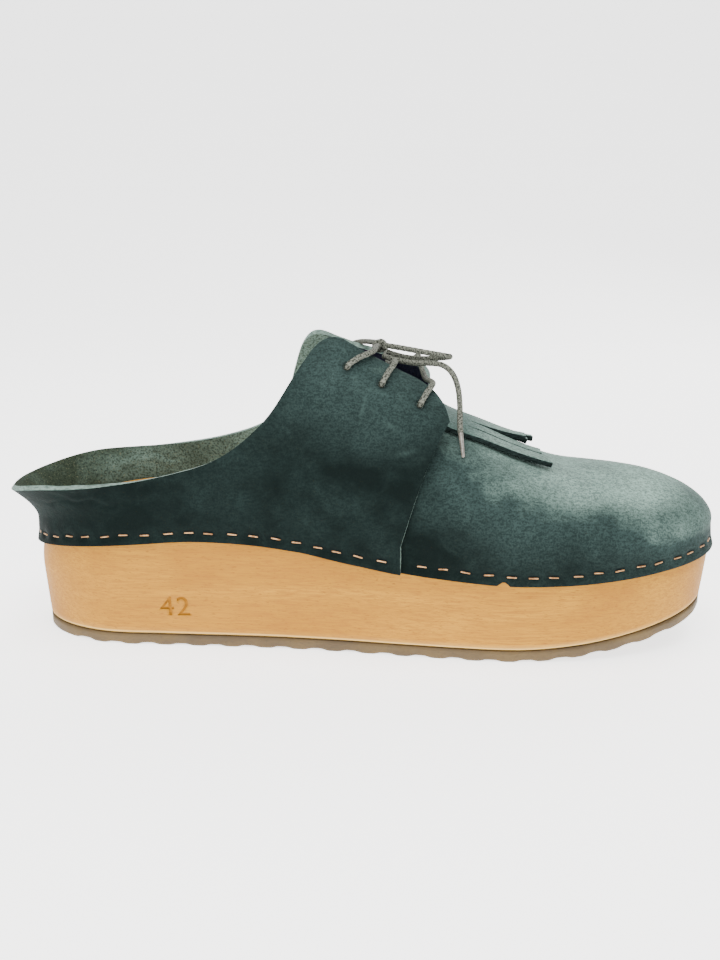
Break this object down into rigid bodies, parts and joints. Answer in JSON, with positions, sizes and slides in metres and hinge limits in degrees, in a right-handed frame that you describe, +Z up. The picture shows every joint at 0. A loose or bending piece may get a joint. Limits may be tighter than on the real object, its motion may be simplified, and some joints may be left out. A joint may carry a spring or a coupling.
{
  "type": "platform clog",
  "caption": "Left platform clog: wooden base with a rubber outsole, stapled green leather upper, laced flaps and a fringed kiltie.",
  "frame": {"origin": "on the ground, under the middle of the wooden base's length, on a crest of the tread", "axes": "+X towards the toe, -Y towards the inner side of the foot, +Z up"},
  "size_m": [0.3064, 0.1095, 0.1299],
  "materials": {
    "wood": "bare alder, fine grain, satin",
    "rubber": "matte gum rubber",
    "upper": "dark green nubuck",
    "kiltie": "green nubuck, paler",
    "lace": "braided grey cord",
    "aglet": "clear film over the cord"
  },
  "bodies": {
    "root": {"platform": "wood", "outsole": "rubber", "vamp": "upper", "quarter": "upper", "kiltie": "kiltie", "lace_bar_middle": "lace", "lace_bar_front": "lace", "lace_strand_inner": "lace", "lace_strand_outer": "lace", "lace_knot": "lace", "lace_loop": "lace", "lace_end": "lace", "aglet": "aglet"}
  },
  "joints": []
}
